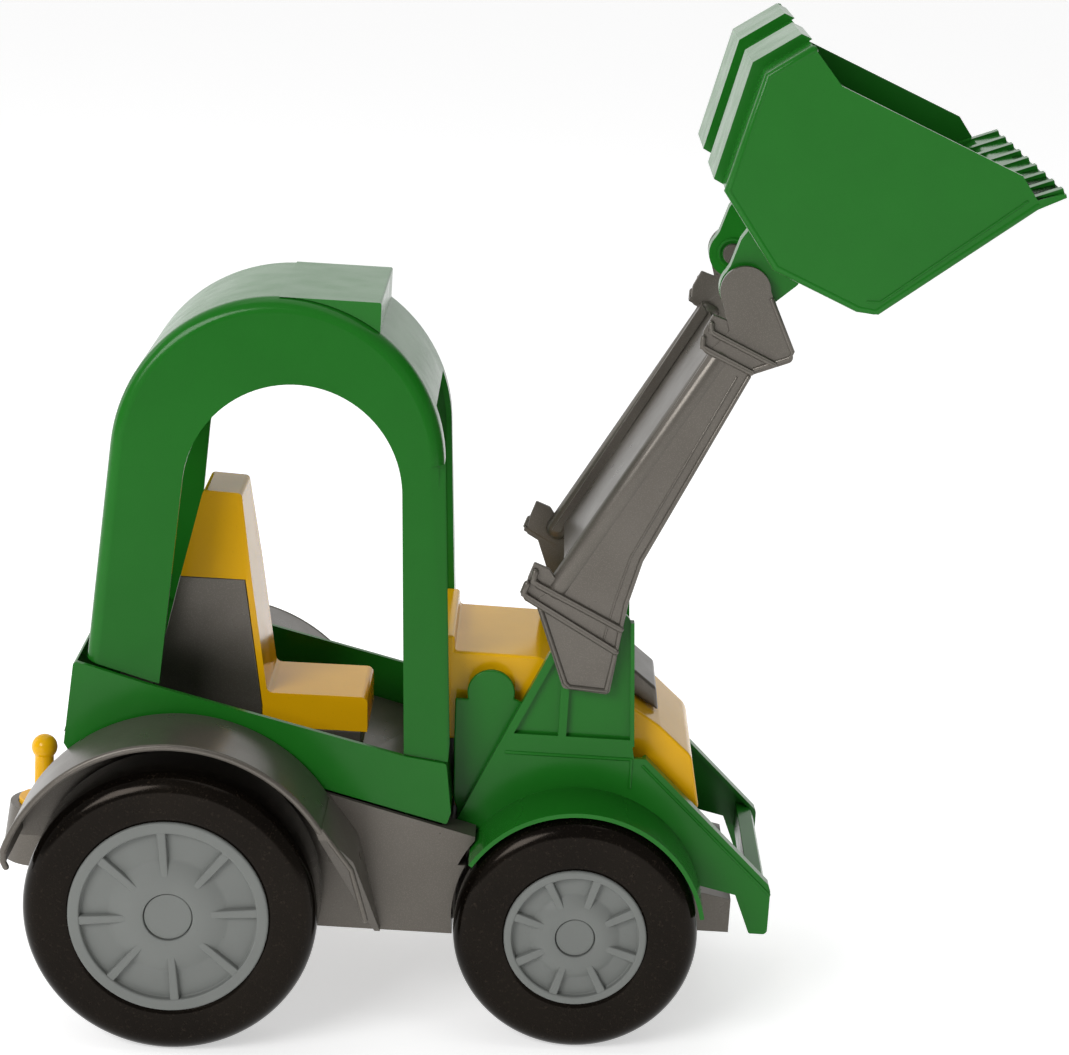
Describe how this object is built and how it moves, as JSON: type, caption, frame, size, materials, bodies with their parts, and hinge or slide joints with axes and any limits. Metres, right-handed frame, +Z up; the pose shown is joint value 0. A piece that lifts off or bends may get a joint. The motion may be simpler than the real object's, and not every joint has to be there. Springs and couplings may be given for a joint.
{
  "type": "toy front loader",
  "caption": "Toy wheel loader: chassis, arched cab, hood, ribbed wheels and a raised pivoting arm with a tilting bucket.",
  "frame": {"origin": "on the ground under the middle of the toy's length and width, with the arm raised as stored", "axes": "+X forward, +Y to the loader's own left, +Z up"},
  "size_m": [0.4197, 0.2156, 0.4249],
  "materials": {
    "tyre": "smooth glossy moulded plastic tyre, near black",
    "hub_grey": "satin cool grey moulded plastic",
    "steel": "zinc plated steel",
    "grey_plastic": "pearly warm grey moulded plastic with fine metallic flecks",
    "yellow_plastic": "glossy yellow moulded plastic",
    "green_plastic": "glossy green moulded plastic"
  },
  "bodies": {
    "vehicle": {"chassis": "grey_plastic", "chassis_screws": "steel", "hitch_pin": "yellow_plastic", "rear_axle_rod": "steel", "rear_axle_clips": "steel", "front_axle_rod": "steel", "front_axle_clips": "steel", "rear_mudguard_left": "grey_plastic", "rear_mudguard_right": "grey_plastic", "cab_body": "green_plastic", "cab_arch": "green_plastic", "seat_base": "grey_plastic", "seat": "yellow_plastic", "hood": "yellow_plastic", "air_intake": "grey_plastic", "hood_cradle": "green_plastic", "loader_frame_left": "green_plastic", "loader_frame_right": "green_plastic", "front_crossbar": "green_plastic"},
    "arm": {"loader_arm": "grey_plastic"},
    "bucket": {"bucket": "green_plastic"},
    "wheel_rear_left": {"tyre_rear_left": "tyre", "hub_rear_left": "hub_grey", "hub_cap_rear_left": "hub_grey"},
    "wheel_rear_right": {"tyre_rear_right": "tyre", "hub_rear_right": "hub_grey", "hub_cap_rear_right": "hub_grey"},
    "wheel_front_left": {"tyre_front_left": "tyre", "hub_front_left": "hub_grey", "hub_cap_front_left": "hub_grey"},
    "wheel_front_right": {"tyre_front_right": "tyre", "hub_front_right": "hub_grey", "hub_cap_front_right": "hub_grey"}
  },
  "joints": [
    {"name": "wheel_rear_left_spin", "type": "hinge", "parent": "vehicle", "child": "wheel_rear_left", "pos_m": [-0.124, 0.09, 0.06], "axis": [0, 1, 0], "continuous": true},
    {"name": "wheel_rear_right_spin", "type": "hinge", "parent": "vehicle", "child": "wheel_rear_right", "pos_m": [-0.124, -0.09, 0.06], "axis": [0, 1, 0], "continuous": true},
    {"name": "wheel_front_left_spin", "type": "hinge", "parent": "vehicle", "child": "wheel_front_left", "pos_m": [0.0418, 0.067, 0.0509], "axis": [0, 1, 0], "continuous": true},
    {"name": "wheel_front_right_spin", "type": "hinge", "parent": "vehicle", "child": "wheel_front_right", "pos_m": [0.0418, -0.067, 0.0509], "axis": [0, 1, 0], "continuous": true},
    {"name": "arm_lift", "type": "hinge", "parent": "vehicle", "child": "arm", "pos_m": [0.042, 0, 0.168], "axis": [0, 1, 0], "range_deg": [-8, 105]},
    {"name": "bucket_tilt", "type": "hinge", "parent": "arm", "child": "bucket", "pos_m": [0.0933, 0, 0.3202], "axis": [0, 1, 0], "range_deg": [-95, 45]}
  ]
}
